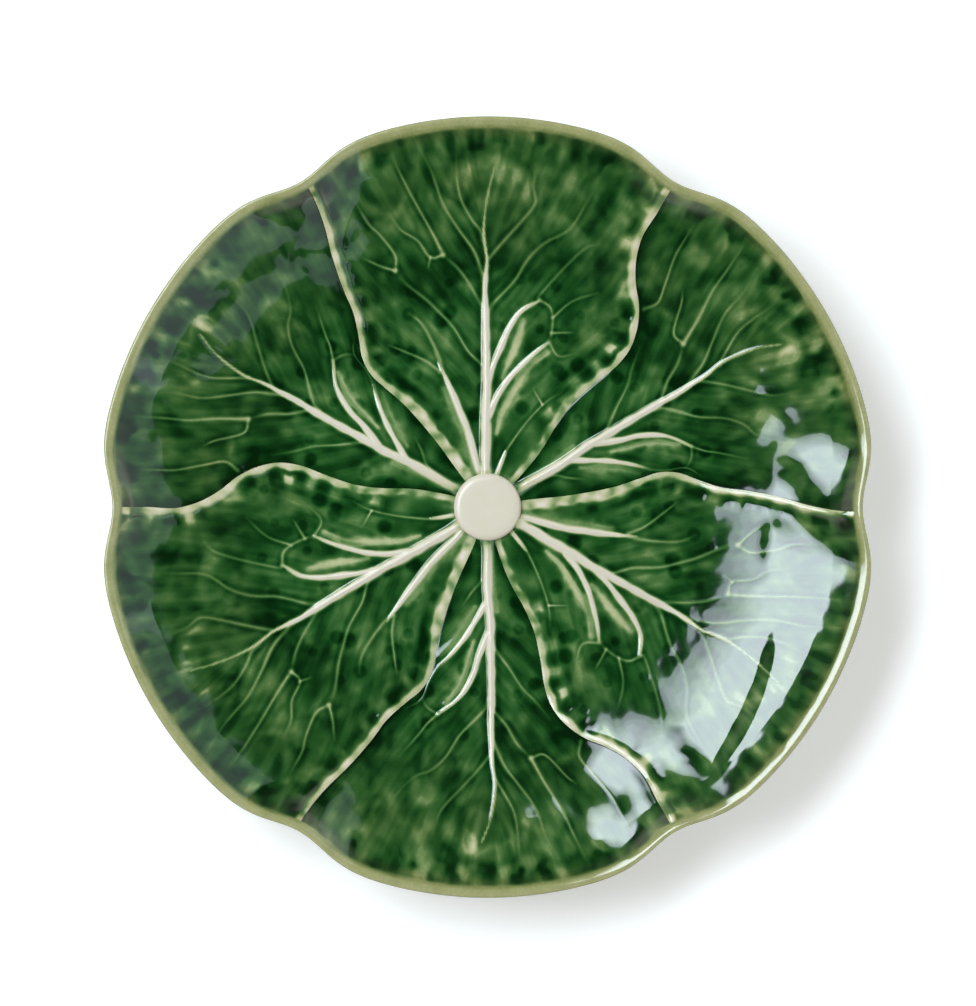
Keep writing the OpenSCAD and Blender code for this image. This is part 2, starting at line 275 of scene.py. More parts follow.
def reach(places, line, far=4.0):
    """How far each place is from a line, and the line's width and the share along it there."""
    points, widths = line
    distance = np.full(len(places), far)
    width = np.full(len(places), widths[-1])
    along = np.zeros(len(places))
    inside = np.all((places > points.min(0) - far) & (places < points.max(0) + far), axis=1)
    near = np.flatnonzero(inside)
    p = places[near]
    d, w, s = distance[near], width[near], along[near]
    last = len(points) - 1
    for i in range(last):
        step = points[i + 1] - points[i]
        t = np.clip((p - points[i]) @ step / (step @ step), 0, 1)
        off = np.linalg.norm(p - points[i] - t[:, None] * step, axis=1)
        closer = off < d
        d = np.where(closer, off, d)
        w = np.where(closer, widths[i] + t * (widths[i + 1] - widths[i]), w)
        s = np.where(closer, (i + t) / last, s)
    distance[near], width[near], along[near] = d, w, s
    return distance, width, along


def vein_rows(vein):
    """A thin vein's stations with its width running from the first to the last."""
    start, end, *stations = vein
    widths = np.linspace(start, end, len(stations))
    return [(share, degrees, width) for (share, degrees), width in zip(stations, widths)]


def dish_z(share):
    """The height of the dish's upper side."""
    climb = np.clip((share * PLATE_R - WELL_R) / (RIM_R - WELL_R), 0, 1)
    return FLOOR_Z + (DISH_EDGE_Z - FLOOR_Z) * climb ** WALL_CURVE


def under_z(share):
    """The height of the dish's underside."""
    climb = np.clip((share * PLATE_R - UNDER_R) / (RIM_R - UNDER_R), 0, 1)
    return FOOT_Z + (UNDER_EDGE_Z - FOOT_Z) * climb ** WALL_CURVE


def plan_r(share, angle):
    """The distance from the axis, drawn in where two leaves meet at the rim."""
    return share * PLATE_R - NOTCH * np.abs(np.cos(3 * angle)) ** NOTCH_POWER * share ** 4


def around(r, angle, z):
    """Places at a distance from the plate's axis, an angle round it and a height."""
    return np.column_stack([r * np.cos(angle), r * np.sin(angle), z])


def share_at(co):
    """The share of the radius that places on the plate were shaped with, the notches undone."""
    radius = np.hypot(co[:, 0], co[:, 1]) / PLATE_R
    pull = NOTCH / PLATE_R * np.abs(np.cos(3 * np.arctan2(co[:, 1], co[:, 0]))) ** NOTCH_POWER
    share = radius
    for _ in range(6):
        share = radius + pull * share ** 4
    return share


def leaf_degrees(upper, share, across):
    """Degrees from a leaf's middle, at a share of the way from its right border to its left."""
    wide, narrow = through(WIDE_BORDER, share), through(NARROW_BORDER, share)
    right = -30 + (narrow if upper else wide)
    left = 30 + (wide if upper else narrow)
    return right + (left - right) * across


def border_line(upper, left):
    """A leaf's left or right border as a line on the flat leaf."""
    share = np.linspace(INNER_SHARE, 1, 160)
    degrees = leaf_degrees(upper, share, 1.0 if left else 0.0)
    return flat(share, degrees), np.ones(len(share))


def spots(places, seed, spacing, size):
    """Round soft spots, one near each crossing of a jittered net, as strengths from 0 to 1."""
    rng = np.random.default_rng(seed)
    found = np.zeros(len(places))
    for x in np.arange(4, PLATE_R, spacing):
        for y in np.arange(-50, 50, spacing):
            dx, dy, scale, keep = rng.random(4)
            if keep < 0.12 or abs(y) > 8 + x * 0.75:
                continue
            middle = np.array([x + (dx - 0.5) * spacing, y + (dy - 0.5) * spacing])
            radius = size * (0.7 + 0.6 * scale)
            off = np.linalg.norm(places - middle, axis=1) / radius
            found = np.maximum(found, (0.5 + 0.5 * scale) * (1 - fade((off - 0.45) / 0.9)))
    return found


def vein_start(share, degrees):
    """Where on the midrib a vein through each place would leave it, as a share of the radius.
    Veins swing away from the midrib and then run out towards the rim."""
    turn = np.abs(degrees)
    low = np.full(len(share), -0.6)
    high = np.minimum(share, 0.8)
    for _ in range(24):
        middle = (low + high) / 2
        reached = (45.7 - 57 * middle) * (1 - np.exp((middle - share) / 0.2))
        low = np.where(reached > turn, middle, low)
        high = np.where(reached > turn, high, middle)
    return (low + high) / 2


def leaf_face(upper, share, across):
    """Height over the dish, glaze thickness and warmth of colour, at places on one kind of leaf."""
    degrees = leaf_degrees(upper, share, across)
    places = flat(share, degrees)
    x, y = places.T
    radius = share * PLATE_R
    seed = 100 if upper else 200
    to_rim = (EDGE_SHARE - share) * PLATE_R

    # The plain leaf, like the part's, but with flatter laps and crown and a lower outer wall.
    shaped = fade((share - 0.11) / 0.09) * fade((RIM_R / PLATE_R - share) / 0.055)
    quiet = fade((to_rim - 0.5) / 7)
    if upper:
        rise = 0.08 + np.where(across > 0.5, 0.28, 0.06) * fade((share - 0.48) / 0.15)
    else:
        rise = -0.14 * fade((share - 0.12) / 0.3) * (1 - fade((share - 0.45) / 0.1))
    lap = LAP * rise * np.abs(2 * across - 1) ** 12
    tuck = 0 if upper else TUCK * fade((share - 0.5) / 0.15) * np.abs(2 * across - 1) ** 4
    crown = CROWN * np.sin(np.pi * across) * fade(share / 0.45) * (1 - fade((share - 0.35) / 0.55))
    height = LEAF_T + shaped * (lap + crown - tuck)
    height += 0.36 * np.maximum((share - 0.9) / 0.075, 0) - WALL_DROP * fade((share - 0.5) / 0.4)

    # Mottled glaze: streaks that run with the veins, soft blobs, and round dark spots.
    flow = vein_start(share, degrees) + np.where(degrees < 0, 3, 0)
    off_middle = fade(np.abs(degrees) / 2.5)
    warped = noise(x / 10, y / 10, seed + 1)
    blobs = noise(x / 7 + 0.6 * warped, y / 5.5, seed + 2)
    cells = noise(x / 3, y / 2.6 + warped, seed + 3)
    broad = noise(flow / 0.08, radius / 11 + 0.7 * warped, seed + 4)
    streaks = noise(flow / 0.04, radius / 7 + 0.9 * blobs, seed + 5)
    lines = noise(flow / 0.014, radius / 8 + 0.6 * cells, seed + 6)
    dark = spots(places, seed + 7, 7, 1.35) * fade((0.68 - share) / 0.12)
    glaze = 0.55 + 0.16 * blobs + 0.11 * cells + 0.15 * broad * off_middle
    glaze += off_middle * (0.17 * streaks + 0.06 * lines) * fade((share - 0.15) / 0.25)
    glaze += 0.34 * dark + 0.15 * hump(share - 0.62, 0.13)
    glaze += 0.02 * fade((share - 0.76) / 0.1) + 0.06 * fade((0.35 - share) / 0.15)
    glaze += 0.5 * np.maximum(0.42 - glaze, 0)
    even = 1 - 0.45 * hump(share - 0.66, 0.14)
    height += quiet * even * (0.05 * blobs + 0.008 * cells + 0.03 * broad * off_middle - 0.03 * dark)

    # A pale arch across the end of the midrib, with a darker band of glaze just beyond it.
    arch = 0.876 - 0.05 * (degrees / 7.5) ** 2 + 0.01 * cells
    span = fade((9 - np.abs(degrees + 0.5)) / 2.5)
    glaze -= 0.2 * hump((share - arch) * PLATE_R, 3.6) * span * fade(0.85 + 0.8 * cells)
    glaze += 0.16 * hump((share - arch - 0.045) * PLATE_R, 2.2) * span

    # Swellings beside the forks.
    for rows in UPPER_SWELLS if upper else LOWER_SWELLS:
        d, w, _ = reach(places, rib_line(rows))
        height += 0.1 * hump(d, w * 1.4)
        body = hump(d, w * (1.35 + 0.4 * noise(x / 1.8, y / 1.8, seed + 8)))
        glaze += (0.2 + 0.04 * cells - glaze) * np.minimum(1, 1.1 * body)

    # Thin veins, palest where they start, with a little dark glaze on both sides.
    for vein in UPPER_VEINS if upper else LOWER_VEINS:
        d, w, s = reach(places, rib_line(vein_rows(vein)))
        ends = fade((1.02 - s) / 0.3)
        body = hump(d, w * (0.75 + 0.5 * np.exp(-12 * s)))
        height += (0.007 + 0.035 * fade((0.64 - share) / 0.2)) * body * ends
        glaze += 0.11 * hump(d - w * 0.9, 0.8) * ends
        glaze += (0.21 + 0.17 * s - glaze) * body * (0.35 + 0.6 * ends)

    # The ribs, round in section, with dark glaze pooled along their feet.
    rib_height = np.zeros(len(share))
    rib_pool = np.zeros(len(share))
    rib_glaze = np.full(len(share), 0.5)
    nearness = np.zeros(len(share))
    for rows in UPPER_RIBS if upper else LOWER_RIBS:
        d, w, s = reach(places, rib_line(rows))
        thin = fade((1.2 - w) / 0.95)
        q = d / (w / 2 + 0.12 * thin)
        section = 0.5 + 0.5 * np.cos(np.pi * np.minimum(q / 1.35, 1))
        rib_height += (0.54 * (w / 2) ** 1.4 * section) ** 3
        nearness += np.exp(-4.5 * q) * (1 - 0.5 * thin)
        rib_glaze = np.minimum(rib_glaze, 0.03 + 0.25 * thin + 0.28 * fade((q - 0.4) / 1.2))
        rib_pool = np.maximum(rib_pool, hump(d - w / 2 - 0.6, 1.1) * (1 - 0.6 * thin))
    q = -np.log(nearness + 1e-9) / 4.5
    height += np.cbrt(rib_height)
    glaze += 0.14 * rib_pool
    flare = noise(x / 3.6, y / 3.6, seed + 12)
    glaze += (rib_glaze - glaze) * fade((1.75 - q + 0.14 * cells + 0.4 * flare) / 1.3)

    # The clay that is smoothed up round the stem.
    collar = hump((share - 0.089) * PLATE_R, 1.2)
    height += 0.06 * collar
    glaze += (0.27 + 0.08 * cells - glaze) * 0.6 * collar

    # The borders. An upper leaf ends in a pale rolled edge with dark pits behind it, and a lower
    # one dips into a soft groove.
    for left in (False, True):
        d, _, s = reach(places, border_line(upper, left), far=8.0)
        if upper:
            bumps = 0.5 if left else 1.0
            arc = s * 78
            scallop = noise(arc / 3.1, np.full(len(arc), 3.3 + left), seed + 9)
            inner = fade((0.45 - share) / 0.14)
            ragged = noise(x / 2.2, y / 2.2, seed + 11)
            wide = 1.45 + bumps * (0.5 - 0.3 * inner) * scallop
            wide = wide + (0.9 if left else 0.3) * inner + 0.45 * ragged * inner
            roll = fade((wide + 0.6 - d) / 1.35)
            calm = 1 - (0.55 if left else 0.75) * fade((0.62 - share) / 0.12)
            ridge = calm * (0.24 if left else 0.13 + 0.07 * scallop)
            height += shaped * (ridge * hump(d - 0.9, 1.5) - 0.12 * hump(d, 0.5))
            height += shaped * 0.06 * bumps * calm * scallop * hump(d - 1, 1.8)
            pit = hump(d - wide - 1.5, 1.8) * fade(0.45 - 1.3 * scallop)
            finger = hump(d - wide - 1.2, 3) * fade(1.5 * scallop)
            glaze += (0.3 * pit - 0.26 * bumps * finger) * fade((share - 0.2) / 0.1)
            height -= 0.04 * pit * shaped
            pale = 0.17 - 0.08 * scallop + 0.09 * cells
            pale = pale + inner * ((0.04 if left else 0.11) + 0.14 * ragged)
            glaze += (pale - glaze) * roll
        else:
            height += shaped * 0.02 * hump(d, 1.0)
            glaze += 0.2 * hump(d, 2.6) + 0.06 * hump(d, 5)

    # Towards the rim dark commas stand between pale streaks, and the glaze thins over the bead.
    fringe = noise(degrees / 3.3, radius / 10 + 0.4 * cells, seed + 10)
    glaze += 0.32 * hump(to_rim - 3.4, 3.2) * fade(0.45 + 1.3 * fringe)
    glaze -= 0.07 * hump(to_rim - 3.5, 5) * fade(0.3 - 1.4 * fringe)
    edge = fade(1 - to_rim * (1 + 0.3 * fringe) / 1.0)
    glaze += (0.335 - 0.02 * fringe - glaze) * edge
    warmth = np.clip(0.3 * fade((share - 0.35) / 0.5) + 0.2 * warped, 0, 1)
    warmth = np.maximum(warmth, 0.9 * fade((4.5 - to_rim) / 4.5))
    return height, np.clip(glaze, 0, 1), warmth


def edit(selected=None):
    """Goes into edit mode with all of the active mesh selected, or the vertices in a mask."""
    bpy.ops.object.mode_set(mode="EDIT")
    bpy.ops.mesh.select_mode(type="VERT")
    bpy.ops.mesh.select_all(action="SELECT")
    if selected is not None:
        bpy.ops.mesh.select_all(action="DESELECT")
        bpy.ops.object.mode_set(mode="OBJECT")
        bpy.context.object.data.vertices.foreach_set("select", selected)
        bpy.ops.object.mode_set(mode="EDIT")


def corners(mesh):
    """The mesh's vertices as rows of an array."""
    co = np.empty(len(mesh.vertices) * 3)
    mesh.vertices.foreach_get("co", co)
    return co.reshape(-1, 3)


def reshape(obj, places):
    """Moves the mesh's vertices to places in millimetres."""
    obj.data.vertices.foreach_set("co", (places * MM).ravel())
    obj.data.update()


def finish_mesh(obj, glaze, warmth):
    """Faces outward, soft shading, and the glaze stored on the vertices."""
    edit()
    bpy.ops.mesh.normals_make_consistent(inside=False)
    bpy.ops.object.mode_set(mode="OBJECT")
    bpy.ops.object.shade_smooth_by_angle(angle=math.radians(SMOOTH_BELOW))
    paint(obj, glaze, warmth)


def paint(obj, glaze, warmth):
    """Stores the glaze's thickness and warmth on the vertices."""
    for name, values in (("glaze", glaze), ("warmth", warmth)):
        layer = obj.data.attributes.get(name) or obj.data.attributes.new(name, "FLOAT", "POINT")
        layer.data.foreach_set("value", np.asarray(values, np.float32))


def leaf_mesh(name, upper):
    """One leaf about the first axis: a grid made a closed slab, its face cut finely and shaped."""
    bpy.ops.object.select_all(action="DESELECT")
    bpy.ops.mesh.primitive_grid_add(
        x_subdivisions=GRID_ACROSS, y_subdivisions=GRID_ALONG, size=1, location=(0, 0, 0))
    obj = bpy.context.object
    obj.name = name
    edit()
    bpy.ops.mesh.extrude_region_move(TRANSFORM_OT_translate={"value": (0, 0, -1)})
    bpy.ops.object.mode_set(mode="OBJECT")
    edit(corners(obj.data)[:, 2] > -0.5)
    bpy.ops.mesh.subdivide(number_cuts=GRID_CUTS - 1)
    bpy.ops.object.mode_set(mode="OBJECT")

    co = corners(obj.data)
    face = co[:, 2] > -0.5
    across = co[:, 0] + 0.5
    across += 0.3 * (fade(across) - across)
    along = co[:, 1] + 0.5
    edge_start = 1 - EDGE_ROWS / GRID_ALONG
    share = INNER_SHARE + (EDGE_SHARE - INNER_SHARE) * np.minimum(along / edge_start, 1)
    height, glaze, warmth = leaf_face(upper, share, across)
    z = dish_z(share) + np.where(face, height, 0)

    # The last rows go on up the wall, round over at the rim and turn back under it.
    turn = np.pi * np.clip((along - edge_start) / (1 - edge_start), 0, 1)
    edge = along > edge_start + 1e-6
    out = EDGE_W * np.sin(turn)
    round_over = np.clip((out - EDGE_TURN) / (EDGE_W - EDGE_TURN), 0, 1)
    over = z + EDGE_SLOPE * out - EDGE_DROP * (1 - np.sqrt(1 - round_over ** 2))
    wave = noise(leaf_degrees(upper, np.ones(len(along)), across) / 3.4, np.full(len(along), 0.5), 113)
    over -= 0.09 * (1 + wave) * fade(6 * across) * fade(6 * (1 - across)) * np.sin(turn)
    outermost = z + EDGE_SLOPE * EDGE_W - EDGE_DROP
    under = outermost + (outermost - under_z(EDGE_SHARE)) * np.minimum(np.cos(turn), 0)
    share = np.where(edge & face, share + out / PLATE_R, share)
    z = np.where(edge & face, np.where(turn < np.pi / 2, over, under), z)
    z = np.where(edge & ~face, DISH_EDGE_Z - 1.2 * turn, z)
    glaze -= np.where(edge, 0.055 * fade(turn / 0.25) + 0.03 * fade(turn / 1.3), 0)
    # Down the rim's outer side the glaze turns darker: painted shade for the thin dark line round the
    # plate's edge. Under the rim it goes on to the underside's darker glaze.
    edge_shade_and_underside = 0.55 * fade((turn - 0.95) / 0.5) + 0.45 * fade((turn - 1.9) / 1.0)
    glaze = np.where(edge, glaze + (0.45 - glaze) * edge_shade_and_underside, glaze)

    angle = np.radians(leaf_degrees(upper, share, across))
    middle = np.pi / 6 + (0 if not upper else np.pi / 3)
    r = plan_r(share, angle + middle)
    reshape(obj, around(r, angle, z))
    glaze = np.where(face, glaze, 0.6)
    finish_mesh(obj, glaze, warmth)
    return obj


def turned_copy(source, name, degrees):
    """A copy with its own mesh, turned about the plate's axis."""
    obj = source.copy()
    obj.data = source.data.copy()
    obj.name = name
    obj.data.name = name
    obj.data.transform(Matrix.Rotation(math.radians(degrees), 4, "Z"))
    bpy.context.collection.objects.link(obj)
    return obj


def vary(obj, seed, deeper):
    """Makes one leaf's glaze differ a little from its copies', and deeper near the rim."""
    x, y, _ = corners(obj.data).T / MM
    layer = obj.data.attributes["glaze"]
    glaze = np.empty(len(x))
    layer.data.foreach_get("value", glaze)
    mottle = 0.1 * noise(x / 9, y / 9, seed) + 0.05 * noise(x / 3.5, y / 3.5, seed + 1)
    mottle += deeper * fade((np.hypot(x, y) / PLATE_R - 0.7) / 0.15)
    glaze += mottle * fade((glaze - 0.28) / 0.15)
    layer.data.foreach_set("value", np.clip(glaze, 0, 1).astype(np.float32))


def press_fold(obj):
    """One shallow fold near the rim of one leaf, as a finger leaves in soft clay."""
    co = corners(obj.data) / MM
    share = np.hypot(co[:, 0], co[:, 1]) / PLATE_R
    degrees = (np.degrees(np.arctan2(co[:, 1], co[:, 0])) - FOLD_MIDDLE + 180) % 360 - 180
    top = co[:, 2] > dish_z(share_at(co)) + TOP_ABOVE
    beyond = fade((share - FOLD_SHARE + 0.0034 * (degrees + 5)) * PLATE_R / FOLD_W + 0.5)
    part = fade((12 - degrees) / 11) * fade((degrees + 25) / 10) * fade((share - 0.3) / 0.28)
    co[:, 2] -= np.where(top, FOLD_DEPTH * part * (1 - beyond), 0)
    reshape(obj, co)


def press_hollow(obj, share, degrees, wide, deep):
    """One shallow hollow in the top of one leaf, which stops short of its underside, or a low
    swelling where the depth is below 0."""
    co = corners(obj.data) / MM
    off = np.linalg.norm(co[:, :2] - flat(share, degrees), axis=1)
    thick = co[:, 2] - dish_z(share_at(co))
    room = np.maximum(thick - LEAST_CLAY, 0.02)
    press = deep * hump(off, wide)
    press /= (1 + (np.maximum(press, 0) / room) ** 4) ** 0.25
    co[:, 2] -= np.where(thick > TOP_ABOVE, press, 0)
    reshape(obj, co)


def turned(name, section, sides):
    """A body turned from a closed section of (radius, height) rows, ring by ring."""
    radius, z = section[0]
    bpy.ops.object.select_all(action="DESELECT")
    bpy.ops.mesh.primitive_circle_add(vertices=sides, radius=radius * MM, location=(0, 0, 0))
    obj = bpy.context.object
    obj.name = name
    edit()
    bpy.ops.transform.translate(value=(0, 0, z * MM))
    for next_radius, next_z in section[1:]:
        bpy.ops.mesh.extrude_region_move(
            TRANSFORM_OT_translate={"value": (0, 0, (next_z - z) * MM)})
        bpy.ops.transform.resize(value=(next_radius / radius, next_radius / radius, 1))
        radius, z = next_radius, next_z
    bpy.ops.mesh.select_all(action="SELECT")
    bpy.ops.mesh.remove_doubles(threshold=MERGE * MM)
    bpy.ops.object.mode_set(mode="OBJECT")
    return obj


def linear(channel):
    """A colour channel as written, 0 to 255, in the renderer's own scale."""
    c = channel / 255
    return c / 12.92 if c <= 0.04045 else ((c + 0.055) / 1.055) ** 2.4


def tone(colour):
    """A colour as written, with full cover, in the renderer's own scale."""
    return (*[linear(c) for c in colour], 1.0)


def fill_ramp(ramp, rows):
    """Sets a colour ramp's stops."""
    while len(ramp.elements) < len(rows):
        ramp.elements.new(0.5)
    for stop, (place, colour) in zip(ramp.elements, rows):
        stop.position = place
        stop.color = tone(colour)


def glaze_group():
    """Glaze colour from its thickness and warmth, with specks too fine for the mesh."""
    group = bpy.data.node_groups.new("glaze_colour", "ShaderNodeTree")
    socket = group.interface.new_socket
    socket("Thickness", in_out="INPUT", socket_type="NodeSocketFloat")
    socket("Warmth", in_out="INPUT", socket_type="NodeSocketFloat")
    socket("Speck", in_out="INPUT", socket_type="NodeSocketFloat")
    socket("Colour", in_out="OUTPUT", socket_type="NodeSocketColor")
    socket("Ripple", in_out="OUTPUT", socket_type="NodeSocketFloat")
    nodes, links = group.nodes, group.links
    given = nodes.new("NodeGroupInput")
    out = nodes.new("NodeGroupOutput")
    where = nodes.new("ShaderNodeTexCoord")

    speck = nodes.new("ShaderNodeTexNoise")
    speck.inputs["Scale"].default_value = 1500
    speck.inputs["Detail"].default_value = 3
    links.new(where.outputs["Object"], speck.inputs["Vector"])
    centred = nodes.new("ShaderNodeMath")
    centred.operation = "SUBTRACT"
    centred.inputs[1].default_value = 0.5
    links.new(speck.outputs["Fac"], centred.inputs[0])
    thickness = nodes.new("ShaderNodeMath")
    thickness.operation = "MULTIPLY_ADD"
    links.new(centred.outputs[0], thickness.inputs[0])
    links.new(given.outputs["Speck"], thickness.inputs[1])
    links.new(given.outputs["Thickness"], thickness.inputs[2])

    mix = nodes.new("ShaderNodeMix")
    mix.data_type = "RGBA"
    for rows, slot in ((GREEN, 6), (OLIVE, 7)):
        ramp = nodes.new("ShaderNodeValToRGB")
        fill_ramp(ramp.color_ramp, rows)
        links.new(thickness.outputs[0], ramp.inputs["Fac"])
        links.new(ramp.outputs["Color"], mix.inputs[slot])
    links.new(given.outputs["Warmth"], mix.inputs[0])
    links.new(mix.outputs[2], out.inputs["Colour"])

    ripple = nodes.new("ShaderNodeTexNoise")
    ripple.inputs["Scale"].default_value = 260
    ripple.inputs["Detail"].default_value = 1
    links.new(where.outputs["Object"], ripple.inputs["Vector"])
    links.new(ripple.outputs["Fac"], out.inputs["Ripple"])
    return group


def glazed(name, group, speck=0.07, roughness=0.05, thin_roughness=0.3):
    """A glazed finish that reads the glaze stored on the mesh."""
    material = bpy.data.materials.new(name)
    material.use_nodes = True
    nodes, links = material.node_tree.nodes, material.node_tree.links
    shader = nodes["Principled BSDF"]
    shader.inputs["IOR"].default_value = 1.6
    colour = nodes.new("ShaderNodeGroup")
    colour.node_tree = group
    colour.inputs["Speck"].default_value = speck
    for attribute, target in (("glaze", "Thickness"), ("warmth", "Warmth")):
        read = nodes.new("ShaderNodeAttribute")
        read.attribute_name = attribute
        links.new(read.outputs["Fac"], colour.inputs[target])
        if attribute == "glaze":
            shine = nodes.new("ShaderNodeMapRange")
            shine.inputs["From Min"].default_value = 0.05
            shine.inputs["From Max"].default_value = 0.3
            shine.inputs["To Min"].default_value = thin_roughness
            shine.inputs["To Max"].default_value = roughness
            links.new(read.outputs["Fac"], shine.inputs["Value"])
            links.new(shine.outputs["Result"], shader.inputs["Roughness"])
    links.new(colour.outputs["Colour"], shader.inputs["Base Color"])
    bump = nodes.new("ShaderNodeBump")
    bump.inputs["Strength"].default_value = 0.15
    bump.inputs["Distance"].default_value = 0.05 * MM
    links.new(colour.outputs["Ripple"], bump.inputs["Height"])
    links.new(bump.outputs["Normal"], shader.inputs["Normal"])
    return material


def clay(name):
    """Bare fired clay: matt, warm and slightly speckled."""
    material = bpy.data.materials.new(name)
    material.use_nodes = True
    nodes, links = material.node_tree.nodes, material.node_tree.links
    shader = nodes["Principled BSDF"]
    shader.inputs["Roughness"].default_value = 0.75
    where = nodes.new("ShaderNodeTexCoord")
    grain = nodes.new("ShaderNodeTexNoise")
    grain.inputs["Scale"].default_value = 900
    grain.inputs["Detail"].default_value = 6
    links.new(where.outputs["Object"], grain.inputs["Vector"])
    ramp = nodes.new("ShaderNodeValToRGB")
    fill_ramp(ramp.color_ramp, [(0.3, (176, 156, 120)), (0.5, (203, 186, 152)), (0.8, (216, 203, 172))])
    links.new(grain.outputs["Fac"], ramp.inputs["Fac"])
    links.new(ramp.outputs["Color"], shader.inputs["Base Color"])
    bump = nodes.new("ShaderNodeBump")
    bump.inputs["Strength"].default_value = 0.4
    bump.inputs["Distance"].default_value = 0.1 * MM
    links.new(grain.outputs["Fac"], bump.inputs["Height"])
    links.new(bump.outputs["Normal"], shader.inputs["Normal"])
    return material


colour_group = glaze_group()
leaf_glaze = glazed("leaf_glaze", colour_group)
dish_glaze = glazed("dish_glaze", colour_group)
stem_glaze = glazed("stem_glaze", colour_group, speck=0.05, roughness=0.08)
foot_glaze = glazed("foot_glaze", colour_group)
bare_clay = clay("bare_clay")

# The six leaves. The lower ones lie about 30, 150 and 270 degrees, and the upper ones between.
for kind, upper, first in (("lower", False, 30), ("upper", True, 90)):
    source = leaf_mesh(f"{kind}_leaf_face_1", upper)
    source.data.materials.append(leaf_glaze)
    pieces = [source]
    for number in (2, 3):
        pieces.append(turned_copy(source, f"{kind}_leaf_face_{number}", first + 120 * (number - 1)))
    source.data.transform(Matrix.Rotation(math.radians(first), 4, "Z"))
    for number, piece in enumerate(pieces, 1):
        vary(piece, first + 400 + 10 * number, 0.07 if number == 2 else 0)
        if piece.name == FOLDED_LEAF:
            press_fold(piece)
        for row in PRESSES.get(piece.name, []):
            press_hollow(piece, *row)
        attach(piece, "root")
        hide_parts(f"{kind}_leaf_{number}", f"{kind}_ribs_{number}")

# The dish under the leaves. Its rim starts inside the leaves' bead.
shares = np.linspace(UNDER_R / PLATE_R, EDGE_SHARE, 22)
section = [(AXIS_R, FOOT_Z)] + [(radius, FOOT_Z) for radius in range(2, 46, 2)]
section += [(share * PLATE_R, float(under_z(share))) for share in shares]
section += [(EDGE_SHARE * PLATE_R - 0.2, 18.0)]
shares = np.linspace(EDGE_SHARE - 0.006, WELL_R / PLATE_R, 16)
section += [(share * PLATE_R, float(dish_z(share)) - UNDER_LEAF) for share in shares]
section += [(20, FLOOR_Z - UNDER_LEAF), (AXIS_R, FLOOR_Z - UNDER_LEAF)]
dish = turned("dish_underside", section, 288)
x, y, z = (corners(dish.data) / MM).T
share = np.hypot(x, y) / PLATE_R
angle = np.arctan2(y, x)
reshape(dish, around(plan_r(share, angle), angle, z))
glaze = 0.5 + 0.12 * noise(x / 8, y / 8, 301) + 0.1 * noise(x / 3, y / 3, 302)
glaze += 0.1 * noise(np.degrees(angle) / 5, share * 9, 303) * fade((share - 0.5) / 0.1)
finish_mesh(dish, np.clip(glaze, 0, 1), np.full(len(glaze), 0.5))
dish.data.materials.append(dish_glaze)
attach(dish, "root")
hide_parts("plate_body")

# The foot ring, with a soft fillet under the dish and a bare edge to stand on.
foot = turned("foot", [
    (46.6, 4.9), (46.3, 4.62), (45.6, 4.3), (45.15, 3.7), (45.0, 2.9), (44.95, 1.7), (44.75, 0.9),
    (44.3, 0.35), (43.7, 0.06), (43.2, 0.0), (41.8, 0.0), (41.3, 0.06), (40.7, 0.35),
    (40.25, 0.9), (40.05, 1.7), (40.0, 2.9), (39.85, 3.7), (39.4, 4.3), (38.7, 4.62),
    (38.4, 4.9), (46.6, 4.9),
], 240)
x, y, z = (corners(foot.data) / MM).T
degrees = np.degrees(np.arctan2(y, x))
glaze = 0.42 + 0.12 * noise(degrees / 4, z, 311) + 0.08 * noise(x / 2, y / 2, 312)
glaze += (0.12 - glaze) * fade((1.4 - z) / 1.2)
finish_mesh(foot, np.clip(glaze, 0, 1), np.full(len(glaze), 0.5))
foot.data.materials.append(foot_glaze)
foot.data.materials.append(bare_clay)
middles = np.empty(len(foot.data.polygons) * 3)
foot.data.polygons.foreach_get("center", middles)
bare = middles.reshape(-1, 3)[:, 2] < BARE_Z * MM
foot.data.polygons.foreach_set("material_index", bare.astype(np.int32))
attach(foot, "root")
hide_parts("foot_ring")

# The cut stem: a low round disc, very slightly uneven, with green glaze pooled at its foot.
stem = turned("cut_stem", [
    (AXIS_R, 9.7), (3.5, 9.7), (6.9, 9.7), (7.15, 9.9), (7.15, 10.25), (7.08, 10.55),
    (6.9, 10.82), (6.6, 11.05), (6.2, 11.2), (5.7, 11.27), (4.8, 11.29), (3.6, 11.28),
    (2.4, 11.27), (1.2, 11.26), (AXIS_R, 11.26),
], 128)
co = corners(stem.data) / MM
top = fade((co[:, 2] - 10.2) / 0.6)
co[:, 2] -= top * 0.05 * (1 + noise(co[:, 0] / 3.4, co[:, 1] / 3.4, 321)) * 0.5
reshape(stem, co)
glaze = 0.03 + 0.02 * noise(co[:, 0] / 2.5, co[:, 1] / 2.5, 322)
glaze += 0.22 * fade((10.25 - co[:, 2]) / 0.45)
finish_mesh(stem, np.clip(glaze, 0, 1), np.full(len(glaze), 0.3))
stem.data.materials.append(stem_glaze)
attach(stem, "root")
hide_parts("stem_boss")

# A white floor that keeps the plate's shadow. The camera sees it lifted to white, directly and in
# reflections.
FLOOR_LIFT = 0.26
bpy.ops.object.select_all(action="DESELECT")
bpy.ops.mesh.primitive_plane_add(size=12, location=(0, 0, 0))
floor = bpy.context.object
floor.name = "floor"
paper = bpy.data.materials.new("paper")
paper.use_nodes = True
nodes, links = paper.node_tree.nodes, paper.node_tree.links
shader = nodes["Principled BSDF"]
shader.inputs["Base Color"].default_value = (0.9, 0.9, 0.9, 1)
shader.inputs["Roughness"].default_value = 1.0
shader.inputs["Specular IOR Level"].default_value = 0.0
shader.inputs["Emission Color"].default_value = (1, 1, 1, 1)
path = nodes.new("ShaderNodeLightPath")
seen = nodes.new("ShaderNodeMath")
seen.operation = "MAXIMUM"
links.new(path.outputs["Is Camera Ray"], seen.inputs[0])
links.new(path.outputs["Is Glossy Ray"], seen.inputs[1])
seen_too = nodes.new("ShaderNodeMath")
seen_too.operation = "MAXIMUM"
